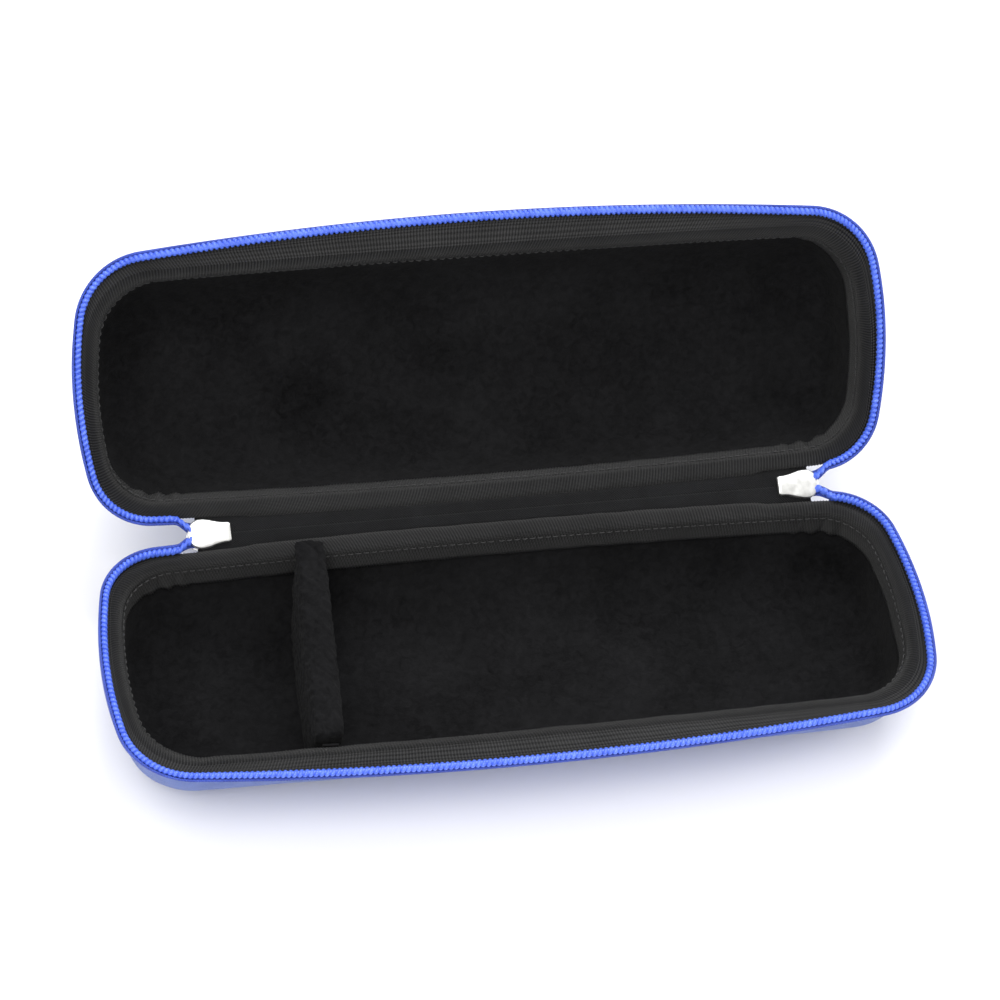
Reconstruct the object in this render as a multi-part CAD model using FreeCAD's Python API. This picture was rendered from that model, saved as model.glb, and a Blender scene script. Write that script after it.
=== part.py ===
"""Carry case for a small hand telescope: two soft-lined moulded halves that open like a book.

Row frame: X along the case, +Y towards the fabric hinge, +Z up.  The origin is the middle of
the base's flat bottom.  The case is stored open, with its base on the table.

The lid is the mirror image of the base in a plane across the middle of the hinge strip, so
every half part is drawn once, in the base, and mirrored.
"""
import FreeCAD, Part
import math
import os
from FreeCAD import Vector

# ---------------------------------------------------------------- driving dimensions (mm, deg)
# Line that the outer edge of the zip follows, in the parting plane.
ZIP_LINE = {
    "half_length": 130.0,
    "front": 47.2,
    "rear": 46.4,
    "front_bow": 7.8,
    "rear_bow": 3.6,
    "end_bow": 8.1,
    "front_radius": 24.0,
    "rear_radius": 20.5,
}
# Rim of a moulded half, on its outer face.
SHELL_LINE = {
    "half_length": 127.0,
    "front": 37.5,
    "rear": 44.2,
    "front_bow": 1.5,
    "rear_bow": 2.8,
    "end_bow": 7.0,
    "front_radius": 22.0,
    "rear_radius": 19.0,
}
HALF_DEPTH = 37.0            # table to parting plane
STRIP_WIDTH = 7.0            # hinge strip, from fold to fold
OPEN_ANGLE = 132.0           # between the closed and the stored, fully open lid
DRAFT = math.radians(8.0)    # lean of the moulded walls
SIDE_RADIUS = 28.0           # round between the long walls and the floor
END_RADIUS = 14.0            # round between the end walls and the floor

FABRIC = 0.5                 # outer nylon
FOAM = 2.6                   # moulded foam shell
LINING = 0.8                 # plush lining
TAPE = 0.8                   # binding tape and hinge cloth

ZIP_TAPE = 0.7
COIL_THICK = 2.2             # across the tape
COIL_TALL = 3.0              # along the tape
PARTING_GAP = 0.15           # half the gap between the two rows of teeth
SEWN_BAND = 6.0              # zip tape sewn on the outside of a half

SLIDER_LENGTH = 13.6
SLIDER_WIDTH = 9.4
SLIDER_TAIL_WIDTH = 6.4
SLIDER_PLATE = 1.2
SLIDER_GAP = 3.2             # channel between the slider's two plates
SLIDER_LEFT_X = -90.6
SLIDER_RIGHT_X = 99.8
BAIL_WIRE = 1.2
BAIL_RISE = 2.6
PULL_LENGTH = 24.0
PULL_WIDTH = 6.0
PULL_THICK = 1.4

DIVIDER_X = -62.3            # middle of the divider
DIVIDER_SKEW = 3.3           # it stands a little askew
DIVIDER_THICK = 9.0
DIVIDER_PILE = 1.0
DIVIDER_REAR_TOP = 39.6
DIVIDER_FRONT_TOP = 34.2
DIVIDER_GAP = 0.4            # to the walls it is pressed between
DIVIDER_LIP_FOOT = 34.2      # lip at its rear top, which lies on the binding
DIVIDER_LIP_REACH = 43.0
HOOK_THICK = 0.7
HOOK_WIDTH = 5.0

# ---------------------------------------------------------------- derived places
WALL = FABRIC + FOAM + LINING
CREST = HALF_DEPTH - STRIP_WIDTH / 2.0       # top of the binding
RIM = CREST - TAPE                           # top of the moulded wall
COIL_TOP = HALF_DEPTH - PARTING_GAP
COIL_BOTTOM = COIL_TOP - COIL_TALL
HINGE_Y = SHELL_LINE["rear"] + TAPE          # fold line between base and strip
HALF_ANGLE = OPEN_ANGLE / 2.0
FOLD_BASE = Vector(0, HINGE_Y, CREST)
STRIP_DIRECTION = Vector(0, math.sin(math.radians(HALF_ANGLE)), math.cos(math.radians(HALF_ANGLE)))
FOLD_LID = FOLD_BASE + STRIP_DIRECTION * STRIP_WIDTH
STRIP_MIDDLE = FOLD_BASE + STRIP_DIRECTION * (STRIP_WIDTH / 2.0)
SLIDERS = {"left": (SLIDER_LEFT_X, -1.0), "right": (SLIDER_RIGHT_X, 1.0)}


# ---------------------------------------------------------------- outlines
def bow_radius(half_span, bow):
    """Radius of an arc that rises by bow over half_span."""
    return (half_span ** 2 + bow ** 2) / (2.0 * bow)


def corner_centre(side_centre, side_radius, end_centre, end_radius, radius):
    """Centre of a corner arc that is tangent, inside, to a long side's arc and an end's arc."""
    reach_side = side_radius - radius
    reach_end = end_radius - radius
    dx = end_centre[0] - side_centre[0]
    dy = end_centre[1] - side_centre[1]
    distance = math.hypot(dx, dy)
    along = (reach_side ** 2 - reach_end ** 2 + distance ** 2) / (2.0 * distance)
    across = math.sqrt(reach_side ** 2 - along ** 2)
    candidates = []
    for sign in (-1.0, 1.0):
        x = side_centre[0] + along * dx / distance - sign * across * dy / distance
        y = side_centre[1] + along * dy / distance + sign * across * dx / distance
        candidates.append((x, y))
    return max(candidates)


def away(centre, through, radius):
    """Point at radius from centre, on the line from through's centre past centre."""
    dx = centre[0] - through[0]
    dy = centre[1] - through[1]
    length = math.hypot(dx, dy)
    return (centre[0] + radius * dx / length, centre[1] + radius * dy / length)


def on_arc(centre, start, end):
    """Middle point of the short arc from start to end about centre."""
    radius = math.hypot(start[0] - centre[0], start[1] - centre[1])
    mid_x = (start[0] + end[0]) / 2.0 - centre[0]
    mid_y = (start[1] + end[1]) / 2.0 - centre[1]
    length = math.hypot(mid_x, mid_y)
    return (centre[0] + radius * mid_x / length, centre[1] + radius * mid_y / length)


def shrink(line, end_inset, side_inset):
    """The same outline, moved inwards at its ends and its long sides."""
    height = line["front"] + line["rear"]
    small = height - 2.0 * side_inset
    half_length = line["half_length"] - end_inset
    long_ratio = (half_length / line["half_length"]) ** 2
    short_ratio = (small / height) ** 2
    return {
        "half_length": half_length,
        "front": line["front"] - side_inset,
        "rear": line["rear"] - side_inset,
        "front_bow": line["front_bow"] * long_ratio,
        "rear_bow": line["rear_bow"] * long_ratio,
        "end_bow": line["end_bow"] * short_ratio,
        "front_radius": min(line["front_radius"] - 0.35 * side_inset, 0.42 * small),
        "rear_radius": min(line["rear_radius"] - 0.35 * side_inset, 0.42 * small),
    }


def outline_wire(line, height):
    """Closed wire of eight arcs, tangent at every join, at one height."""
    front_centre = (0.0, -line["front"] + bow_radius(line["half_length"], line["front_bow"]))
    front_reach = bow_radius(line["half_length"], line["front_bow"])
    rear_reach = bow_radius(line["half_length"], line["rear_bow"])
    rear_centre = (0.0, line["rear"] - rear_reach)
    half_width = (line["front"] + line["rear"]) / 2.0
    middle_y = (line["rear"] - line["front"]) / 2.0
    end_reach = bow_radius(half_width, line["end_bow"])
    end_centre = (line["half_length"] - end_reach, middle_y)
    low = corner_centre(front_centre, front_reach, end_centre, end_reach, line["front_radius"])
    high = corner_centre(rear_centre, rear_reach, end_centre, end_reach, line["rear_radius"])
    front_join = away(low, front_centre, line["front_radius"])
    low_end_join = away(low, end_centre, line["front_radius"])
    high_end_join = away(high, end_centre, line["rear_radius"])
    rear_join = away(high, rear_centre, line["rear_radius"])
    right = [
        (front_join, on_arc(low, front_join, low_end_join), low_end_join),
        (low_end_join, (line["half_length"], middle_y), high_end_join),
        (high_end_join, on_arc(high, high_end_join, rear_join), rear_join),
    ]
    arcs = [(flip(front_join), (0.0, -line["front"]), front_join)]
    arcs += right
    arcs.append((rear_join, (0.0, line["rear"]), flip(rear_join)))
    arcs += [(flip(end), flip(middle), flip(start)) for start, middle, end in reversed(right)]
    edges = []
    for arc in arcs:
        points = [Vector(point[0], point[1], height) for point in arc]
        edges.append(Part.Arc(*points).toShape())
    return Part.Wire(edges)


def flip(point):
    """The same point on the other side of the case's middle."""
    return (-point[0], point[1])


# ---------------------------------------------------------------- moulded trough
def wall_inset(height, radius, skin):
    """How far a wall lies inside the rim line at one height, skin deep in the laminate."""
    if height >= RIM:
        return skin
    reach = radius - skin
    outer_tangent = radius - radius * math.sin(DRAFT)
    centre_inset = (RIM - outer_tangent) * math.tan(DRAFT) + radius * math.cos(DRAFT)
    if height >= radius - reach * math.sin(DRAFT):
        return (RIM - height) * math.tan(DRAFT) + skin / math.cos(DRAFT)
    drop = min(radius - height, reach)
    return centre_inset - math.sqrt(reach ** 2 - drop ** 2)


def trough_line(height, skin):
    """Outline of the moulded half at one height, skin deep in the laminate."""
    return shrink(SHELL_LINE, wall_inset(height, END_RADIUS, skin), wall_inset(height, SIDE_RADIUS, skin))


def shell_wire(height, skin):
    """Wire of the moulded half's outline."""
    return outline_wire(trough_line(height, skin), height)


def turn_height(angle, skin):
    """Height on a long wall's round where it has turned by angle from upright."""
    return SIDE_RADIUS - (SIDE_RADIUS - skin) * math.sin(angle)


def bands(wires):
    """Ruled faces between each outline and the next."""
    faces = []
    for wire, following in zip(wires, wires[1:]):
        for first, second in zip(wire.Edges, following.Edges):
            faces.append(Part.makeRuledSurface(first, second))
    return faces


def closed_solid(faces):
    """Solid enclosed by faces that meet edge to edge."""
    shell = Part.makeShell(faces)
    shell.sewShape()
    solid = Part.makeSolid(Part.Shell(shell.Faces))
    if solid.Volume < 0:
        solid.reverse()
    return solid


def ring(wires):
    """Solid ring whose cross-section has one corner on each of the wires."""
    return closed_solid(bands(wires + [wires[0]]))


def trough_wires(skin):
    """Outlines of a moulded half from its rim down to its floor, skin deep in the laminate."""
    heights = [RIM, turn_height(DRAFT, skin)]
    for angle in (26.0, 42.0, 56.0, 68.0, 78.0, 90.0):
        heights.append(turn_height(math.radians(angle), skin))
    return [shell_wire(height, skin) for height in heights]


def laminate(outer_skin, inner_skin):
    """One layer of a moulded half, open at the rim."""
    outer = trough_wires(outer_skin)
    inner = trough_wires(inner_skin)
    faces = bands(outer) + bands(inner) + bands([outer[0], inner[0]])
    faces.append(Part.Face(outer[-1]))
    faces.append(Part.Face(inner[-1]))
    return closed_solid(faces)


def box(low, high):
    """Axis-aligned block between two corners."""
    size = Vector(*high) - Vector(*low)
    return Part.makeBox(size.x, size.y, size.z, Vector(*low))


# ---------------------------------------------------------------- one half
def rear_gap():
    """Space behind the case, between the two sliders' outer ends, where no zip runs."""
    left = SLIDER_LEFT_X - SLIDER_LENGTH
    right = SLIDER_RIGHT_X + SLIDER_LENGTH
    return box((left, 20.0, -10.0), (right, 80.0, 60.0))


def binding():
    """Tape folded over the rim, with a skirt down the straight part of the inside wall."""
    inner = WALL + TAPE
    skirt_foot = turn_height(DRAFT, WALL)
    profile = [
        (FABRIC + 0.1, RIM),
        (FABRIC + 0.1, CREST - 0.4),
        (FABRIC + 0.6, CREST),
        (inner - 0.4, CREST),
        (inner, CREST - 0.5),
        (inner, skirt_foot),
        (WALL, skirt_foot),
        (WALL, RIM),
    ]
    return ring([shell_wire(height, skin) for skin, height in profile])


def zip_tape():
    """Half of the zip's woven tape: sewn outside the rim, then out and up behind the teeth."""
    tape_back = COIL_THICK + ZIP_TAPE
    wires = [
        shell_wire(RIM - SEWN_BAND, 0.0),
        shell_wire(RIM - SEWN_BAND, -ZIP_TAPE),
        shell_wire(RIM - 0.8, -ZIP_TAPE),
        outline_wire(shrink(ZIP_LINE, COIL_THICK, COIL_THICK), COIL_BOTTOM),
        outline_wire(shrink(ZIP_LINE, COIL_THICK, COIL_THICK), COIL_TOP - 0.3),
        outline_wire(shrink(ZIP_LINE, tape_back, tape_back), COIL_TOP - 0.3),
        outline_wire(shrink(ZIP_LINE, tape_back, tape_back), COIL_BOTTOM + 0.8),
        shell_wire(RIM, 0.0),
    ]
    return ring(wires).cut(rear_gap())


def zip_coil():
    """Envelope of one row of coiled teeth."""
    wires = [
        outline_wire(ZIP_LINE, COIL_BOTTOM + 0.5),
        outline_wire(ZIP_LINE, COIL_TOP - 0.5),
        outline_wire(shrink(ZIP_LINE, 0.6, 0.6), COIL_TOP),
        outline_wire(shrink(ZIP_LINE, COIL_THICK, COIL_THICK), COIL_TOP),
        outline_wire(shrink(ZIP_LINE, COIL_THICK, COIL_THICK), COIL_BOTTOM),
        outline_wire(shrink(ZIP_LINE, 0.6, 0.6), COIL_BOTTOM),
    ]
    return ring(wires).cut(rear_gap())


def zip_line_rear(x):
    """Outer edge of the zip behind the case, at one place along it."""
    across = Part.makeLine(Vector(x, 20.0, 0.0), Vector(x, 80.0, 0.0))
    crossing = across.distToShape(outline_wire(ZIP_LINE, 0.0))[1][0][0]
    return crossing.y


def zip_tail(side):
    """Teeth and tape that leave the half and turn with the hinge strip into a slider's mouth."""
    slider_x, outward = SLIDERS[side]
    start = slider_x + outward * SLIDER_LENGTH
    end = slider_x + outward * (SLIDER_LENGTH / 2.0 + 0.3)
    sections = []
    steps = 5
    for step in range(steps + 1):
        part_way = step / steps
        turn = part_way * part_way * (3.0 - 2.0 * part_way)
        x = start + (end - start) * part_way
        outer = zip_line_rear(x)
        corners = [
            Vector(x, outer - COIL_THICK - ZIP_TAPE, COIL_BOTTOM),
            Vector(x, outer, COIL_BOTTOM),
            Vector(x, outer, COIL_TOP),
            Vector(x, outer - COIL_THICK - ZIP_TAPE, COIL_TOP),
        ]
        section = Part.makePolygon(corners + [corners[0]])
        section.rotate(FOLD_BASE, Vector(1, 0, 0), -HALF_ANGLE * turn)
        sections.append(section)
    return Part.makeLoft(sections, True, True)


def hinge_flap():
    """Lower edge of the hinge cloth, sewn on the outside of the rear wall."""
    top = CREST - 1.3
    foot = CREST - 13.0
    bend = turn_height(DRAFT, 0.0)
    outer = [shell_wire(height, -1.2) for height in (foot, bend, top)]
    inner = [shell_wire(height, 0.0) for height in (top, bend, foot)]
    wires = outer + inner
    reach = min(-SLIDER_LEFT_X, SLIDER_RIGHT_X) - SLIDER_LENGTH
    return ring(wires).common(box((-reach, 20.0, 0.0), (reach, 80.0, 60.0)))


def half_parts():
    """Every piece of one half, named without its half."""
    return {
        "outer_fabric": laminate(0.0, FABRIC),
        "shell": laminate(FABRIC, FABRIC + FOAM),
        "lining": laminate(FABRIC + FOAM, WALL),
        "binding": binding(),
        "zip_tape": zip_tape(),
        "zip_coil": zip_coil(),
        "zip_tail_left": zip_tail("left"),
        "zip_tail_right": zip_tail("right"),
        "hinge_flap": hinge_flap(),
    }


# ---------------------------------------------------------------- hinge strip and sliders
# These are drawn as in the closed case, where the strip stands upright behind the fold line,
# and then turned open about the base's fold.
def opened(shape):
    """Turn a piece of the closed hinge to where it lies with the case open."""
    turned = shape.copy()
    turned.rotate(FOLD_BASE, Vector(1, 0, 0), -HALF_ANGLE)
    return turned


def strip_layer(near, far):
    """One cloth layer of the hinge strip, between two distances behind the fold line."""
    left = SLIDER_LEFT_X + SLIDER_LENGTH / 2.0 + 0.3
    right = SLIDER_RIGHT_X - SLIDER_LENGTH / 2.0 - 0.3
    low = (left, HINGE_Y + near, CREST + 0.4)
    high = (right, HINGE_Y + far, CREST + STRIP_WIDTH - 0.4)
    return box(low, high)


def slider_outline():
    """Shield outline of a slider plate in X and Z, nose towards +X, about its middle."""
    half = SLIDER_LENGTH / 2.0
    wide = SLIDER_WIDTH / 2.0
    tail = SLIDER_TAIL_WIDTH / 2.0
    upper = Part.BSplineCurve()
    upper.interpolate([
        Vector(half, 0, 0.0),
        Vector(half - 1.6, 0, 0.62 * wide),
        Vector(half - 4.6, 0, wide),
        Vector(half - 8.2, 0, 0.5 * (wide + tail)),
        Vector(-half + 0.6, 0, tail),
    ])
    lower = upper.copy()
    lower.mirror(Vector(0, 0, 0), Vector(1, 0, 0))
    corner_up = Vector(-half + 0.6, 0, tail)
    corner_down = Vector(-half + 0.6, 0, -tail)
    back_up = Vector(-half, 0, tail - 0.5)
    back_down = Vector(-half, 0, -tail + 0.5)
    edges = [
        upper.toShape(),
        Part.makeLine(corner_up, back_up),
        Part.makeLine(back_up, back_down),
        Part.makeLine(back_down, corner_down),
        lower.toShape(),
    ]
    return Part.Wire(Part.__sortEdges__(edges))


def place_slider(shape, side):
    """Move a piece drawn about a slider's middle, nose to +X, to its place on the strip."""
    x, outward = SLIDERS[side]
    placed = shape.copy()
    if outward < 0:
        placed = placed.mirror(Vector(0, 0, 0), Vector(1, 0, 0))
    placed.translate(Vector(x, HINGE_Y, HALF_DEPTH))
    return opened(placed)


def slider_body():
    """Two shield plates joined by a wedge at the nose, with side flanges on the inner plate."""
    plate = Part.Face(slider_outline()).extrude(Vector(0, SLIDER_PLATE, 0))
    inner = plate.copy()
    inner.translate(Vector(0, -SLIDER_PLATE - 0.4, 0))
    outer = plate.copy()
    outer.translate(Vector(0, SLIDER_GAP - 0.4, 0))
    nose = SLIDER_LENGTH / 2.0
    wedge_points = [
        Vector(nose - 1.2, -0.5, -0.9),
        Vector(nose - 6.0, -0.5, 0.0),
        Vector(nose - 1.2, -0.5, 0.9),
    ]
    wedge = Part.Face(Part.makePolygon(wedge_points + [wedge_points[0]]))
    wedge = wedge.extrude(Vector(0, SLIDER_GAP + 0.2, 0))
    return inner.fuse([outer, wedge])


def bail_height():
    """Distance of the pull's pin from the fold line plane, in the closed case."""
    return SLIDER_GAP - 0.4 + SLIDER_PLATE + BAIL_RISE - BAIL_WIRE / 2.0


def slider_bail():
    """Arch on the outer plate whose cross pin carries the pull."""
    base = SLIDER_GAP - 0.4 + SLIDER_PLATE
    reach = 2.4
    pin_start = Vector(0, bail_height(), -reach)
    pin = Part.makeCylinder(BAIL_WIRE / 2.0, 2.0 * reach, pin_start, Vector(0, 0, 1))
    posts = []
    for sign in (-1.0, 1.0):
        low = (-BAIL_WIRE, base, sign * reach - 0.6)
        high = (BAIL_WIRE, base + BAIL_RISE, sign * reach + 0.6)
        posts.append(box(low, high))
    return pin.fuse(posts)


def pull_tab():
    """Flat pull with an eye round the bail's pin and a slot near its end."""
    eye_width = 3.0
    start = Vector(0, bail_height(), -eye_width / 2.0)
    eye = Part.makeCylinder(BAIL_WIRE / 2.0 + 1.0, eye_width, start, Vector(0, 0, 1))
    neck_low = (-PULL_THICK / 2.0, bail_height(), -eye_width / 2.0)
    neck_high = (PULL_THICK / 2.0, bail_height() + 3.4, eye_width / 2.0)
    plate_low = (-PULL_THICK / 2.0, bail_height() + 3.0, -PULL_WIDTH / 2.0)
    plate_high = (PULL_THICK / 2.0, bail_height() + PULL_LENGTH, PULL_WIDTH / 2.0)
    plate = box(plate_low, plate_high)
    upright = [edge for edge in plate.Edges if abs(edge.Length - PULL_THICK) < 1e-6]
    plate = plate.makeFillet(1.6, upright)
    hole = Part.makeCylinder(BAIL_WIRE / 2.0 + 0.05, eye_width, start, Vector(0, 0, 1))
    slot_low = (-PULL_THICK, bail_height() + PULL_LENGTH - 9.0, -1.4)
    slot_high = (PULL_THICK, bail_height() + PULL_LENGTH - 3.0, 1.4)
    return eye.fuse([box(neck_low, neck_high), plate]).cut(hole).cut(box(slot_low, slot_high))


def chain_end():
    """Last closed teeth, behind the slider, on the outside of the hinge cloth."""
    tail = -SLIDER_LENGTH / 2.0
    return box((tail - 6.0, TAPE + 0.1, -COIL_TALL), (tail - 0.4, TAPE + 0.1 + COIL_THICK, COIL_TALL))


def end_stop():
    """Metal clip across the end of the closed teeth."""
    tail = -SLIDER_LENGTH / 2.0
    low = (tail - 8.0, TAPE + 0.1, -COIL_TALL - 0.3)
    high = (tail - 6.0, TAPE + 0.1 + COIL_THICK + 0.3, COIL_TALL + 0.3)
    return box(low, high)


# ---------------------------------------------------------------- divider
def divider_profile(grow, top_drop):
    """Face across the trough that the divider fills, less its gap to the walls."""
    skin = WALL + TAPE + DIVIDER_GAP - grow
    travel_x = 92.0
    front_bow = travel_x ** 2 / (2.0 * bow_radius(SHELL_LINE["half_length"], SHELL_LINE["front_bow"]))
    rear_bow = travel_x ** 2 / (2.0 * bow_radius(SHELL_LINE["half_length"], SHELL_LINE["rear_bow"]))
    skew_room = DIVIDER_THICK / 2.0 * math.sin(math.radians(DIVIDER_SKEW))
    front = -SHELL_LINE["front"] + front_bow + skew_room
    rear = SHELL_LINE["rear"] - rear_bow - skew_room
    tangent = SIDE_RADIUS - (SIDE_RADIUS - skin) * math.sin(DRAFT)
    shoulder = SIDE_RADIUS - (SIDE_RADIUS - skin) * math.sin(math.radians(49.0))

    def place(height, from_rear):
        inset = wall_inset(height, SIDE_RADIUS, skin)
        return Vector(0, rear - inset if from_rear else front + inset, height)

    lip_y = DIVIDER_LIP_REACH + grow
    rear_top = Vector(0, lip_y, DIVIDER_REAR_TOP - top_drop)
    lip_foot = Vector(0, lip_y, DIVIDER_LIP_FOOT + top_drop)
    lip_root = Vector(0, place(RIM, True).y, DIVIDER_LIP_FOOT + top_drop)
    front_top = Vector(0, place(RIM, False).y, DIVIDER_FRONT_TOP - top_drop)
    edges = [
        Part.makeLine(front_top, rear_top),
        Part.makeLine(rear_top, lip_foot),
        Part.makeLine(lip_foot, lip_root),
        Part.makeLine(lip_root, place(RIM - 0.01, True)),
        Part.makeLine(place(RIM - 0.01, True), place(tangent, True)),
        Part.Arc(place(tangent, True), place(shoulder, True), place(skin, True)).toShape(),
        Part.makeLine(place(skin, True), place(skin, False)),
        Part.Arc(place(skin, False), place(shoulder, False), place(tangent, False)).toShape(),
        Part.makeLine(place(tangent, False), place(RIM - 0.01, False)),
        Part.makeLine(place(RIM - 0.01, False), front_top),
    ]
    return Part.Face(Part.Wire(edges))


def place_divider(shape):
    """Stand a piece of the divider, drawn across X = 0, in its place in the base."""
    placed = shape.copy()
    middle = (SHELL_LINE["rear"] - SHELL_LINE["front"]) / 2.0
    placed.rotate(Vector(0, middle, 0), Vector(0, 0, 1), -DIVIDER_SKEW)
    placed.translate(Vector(DIVIDER_X, 0, 0))
    return placed


def slab(face, thickness):
    """Face drawn across X = 0, thickened evenly to both sides."""
    body = face.extrude(Vector(thickness, 0, 0))
    body.translate(Vector(-thickness / 2.0, 0, 0))
    return body


def divider_parts():
    """Plush-covered foam wall with a strip of hook tape on each end."""
    cover = slab(divider_profile(-HOOK_THICK, 0.0), DIVIDER_THICK)
    core = slab(divider_profile(-HOOK_THICK - DIVIDER_PILE, DIVIDER_PILE), DIVIDER_THICK - 2 * DIVIDER_PILE)
    hooks = slab(divider_profile(0.0, 0.0), HOOK_WIDTH).cut(slab(divider_profile(-HOOK_THICK, 0.0), 20.0))
    hooks = hooks.common(box((-10.0, -60.0, 21.0), (10.0, 60.0, 31.0)))
    front = hooks.common(box((-10.0, -60.0, 0.0), (10.0, 0.0, 60.0)))
    rear = hooks.common(box((-10.0, 0.0, 0.0), (10.0, 60.0, 60.0)))
    return {
        "divider_cover": cover.cut(core),
        "divider_core": core,
        "divider_hook_front": front,
        "divider_hook_rear": rear,
    }


# ---------------------------------------------------------------- whole case
def build():
    """Every node of the case, by name."""
    nodes = {}
    for name, shape in half_parts().items():
        nodes["base_" + name] = shape
        nodes["lid_" + name] = shape.mirror(STRIP_MIDDLE, STRIP_DIRECTION)
    nodes["hinge_strip_inner"] = opened(strip_layer(-TAPE, 0.0))
    nodes["hinge_strip_outer"] = opened(strip_layer(0.0, TAPE))
    for side in SLIDERS:
        nodes["slider_" + side] = place_slider(slider_body(), side)
        nodes["slider_bail_" + side] = place_slider(slider_bail(), side)
        nodes["pull_tab_" + side] = place_slider(pull_tab(), side)
        nodes["chain_end_" + side] = place_slider(chain_end(), side)
        nodes["end_stop_" + side] = place_slider(end_stop(), side)
    for name, shape in divider_parts().items():
        nodes[name] = place_divider(shape)
    return nodes


os.makedirs("parts", exist_ok=True)
for node, solid in build().items():
    solid.exportStep("parts/" + node + ".step")
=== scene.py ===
"""Looks of the open carry case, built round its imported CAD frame.

Shapes are worked out in millimetres in the row frame and turned into metres when a mesh is made.
Every half piece is drawn once, in the base, and mirrored across the hinge strip for the lid.
"""
import bmesh
import bpy
import math
import numpy as np
from mathutils import Matrix, Vector, noise

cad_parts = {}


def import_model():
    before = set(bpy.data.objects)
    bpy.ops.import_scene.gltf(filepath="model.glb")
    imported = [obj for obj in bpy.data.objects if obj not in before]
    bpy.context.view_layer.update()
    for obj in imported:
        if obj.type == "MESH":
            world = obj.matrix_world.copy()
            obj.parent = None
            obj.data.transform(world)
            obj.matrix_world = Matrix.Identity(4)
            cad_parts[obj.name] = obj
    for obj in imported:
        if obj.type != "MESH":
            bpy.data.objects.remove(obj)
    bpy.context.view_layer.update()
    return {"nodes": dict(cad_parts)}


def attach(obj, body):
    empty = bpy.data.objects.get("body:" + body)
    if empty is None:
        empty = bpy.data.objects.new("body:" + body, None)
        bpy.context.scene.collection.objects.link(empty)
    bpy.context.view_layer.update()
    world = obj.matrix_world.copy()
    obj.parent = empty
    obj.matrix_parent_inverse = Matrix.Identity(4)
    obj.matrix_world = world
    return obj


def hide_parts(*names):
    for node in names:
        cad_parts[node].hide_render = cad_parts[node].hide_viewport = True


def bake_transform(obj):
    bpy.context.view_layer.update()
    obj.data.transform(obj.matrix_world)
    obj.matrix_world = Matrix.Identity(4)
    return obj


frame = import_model()

# ---- sizes, as in the CAD (mm, deg)
ZIP_LINE = {
    "half_length": 130.0, "end_bow": 8.1,
    "front": 47.2, "front_bow": 7.8, "front_radius": 24.0,
    "rear": 46.4, "rear_bow": 3.6, "rear_radius": 20.5,
}
SHELL_LINE = {
    "half_length": 127.0, "end_bow": 7.0,
    "front": 37.5, "front_bow": 1.5, "front_radius": 22.0,
    "rear": 44.2, "rear_bow": 2.8, "rear_radius": 19.0,
}
HALF_DEPTH = 37.0
STRIP_WIDTH = 7.0
HALF_ANGLE = 66.0
DRAFT = math.radians(8.0)
SIDE_RADIUS = 28.0
END_RADIUS = 14.0
FABRIC = 0.5
FOAM = 2.6
WALL = 3.9
TAPE = 0.8
CREST = HALF_DEPTH - STRIP_WIDTH / 2.0
RIM = CREST - TAPE
HINGE_Y = 45.0
COIL_THICK = 2.2
COIL_TALL = 3.0
COIL_TOP = HALF_DEPTH - 0.15
ZIP_TAPE = 0.7
SEWN_BAND = 6.0
TOOTH_PITCH = 1.633
SLIDER_LENGTH = 13.6
SLIDER_WIDTH = 9.4
SLIDER_TAIL_WIDTH = 6.4
SLIDER_PLATE = 1.2
SLIDER_GAP = 3.2
SLIDERS = {"left": (-90.6, -1.0), "right": (99.8, 1.0)}

FOLD_BASE = np.array([0.0, HINGE_Y, CREST])
STRIP_DIRECTION = np.array([0.0, math.sin(math.radians(HALF_ANGLE)), math.cos(math.radians(HALF_ANGLE))])
STRIP_OUT = np.array([0.0, STRIP_DIRECTION[2], -STRIP_DIRECTION[1]])
STRIP_MIDDLE = FOLD_BASE + STRIP_DIRECTION * STRIP_WIDTH / 2.0
UP = np.array([0.0, 0.0, 1.0])
HALVES = ("base", "lid")
RIB_PITCH = 1.0                    # of the binding tape
RIB_SLANT = 0.35
FLARE_LEAN = math.radians(72.0)    # lean of the zip tape where it stands out furthest
FLARE_START = 3.4                  # gap from rim line to zip line up to which the tape is upright
FLARE_SPAN = 5.6                   # further gap over which it leans all the way
CORNER_SHRINK = 0.35               # how much of an inset the corner radii lose
CORNER_MOST = 0.42                 # largest corner radius, as a share of the outline's width


def unit(vectors):
    """The same vectors, one per row, at unit length."""
    return vectors / np.linalg.norm(vectors, axis=1, keepdims=True)


def running_length(points):
    """Distance along a path at each of its points."""
    return np.concatenate([[0.0], np.cumsum(np.linalg.norm(np.diff(points, axis=0), axis=1))])


# ---- outlines
def bow_radius(half_span, bow):
    """Radius of an arc that rises by bow over half_span."""
    return (half_span ** 2 + bow ** 2) / (2.0 * bow)


def corner_centre(side, side_radius, end, end_radius, radius):
    """Centre of a corner arc tangent, inside, to a long side's arc and an end's arc."""
    reach_side = side_radius - radius
    reach_end = end_radius - radius
    gap = end - side
    distance = np.linalg.norm(gap)
    along = (reach_side ** 2 - reach_end ** 2 + distance ** 2) / (2.0 * distance)
    across = math.sqrt(reach_side ** 2 - along ** 2)
    middle = side + along * gap / distance
    turn = np.array([-gap[1], gap[0]]) / distance
    first = middle - across * turn
    second = middle + across * turn
    return first if first[0] > second[0] else second


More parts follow.
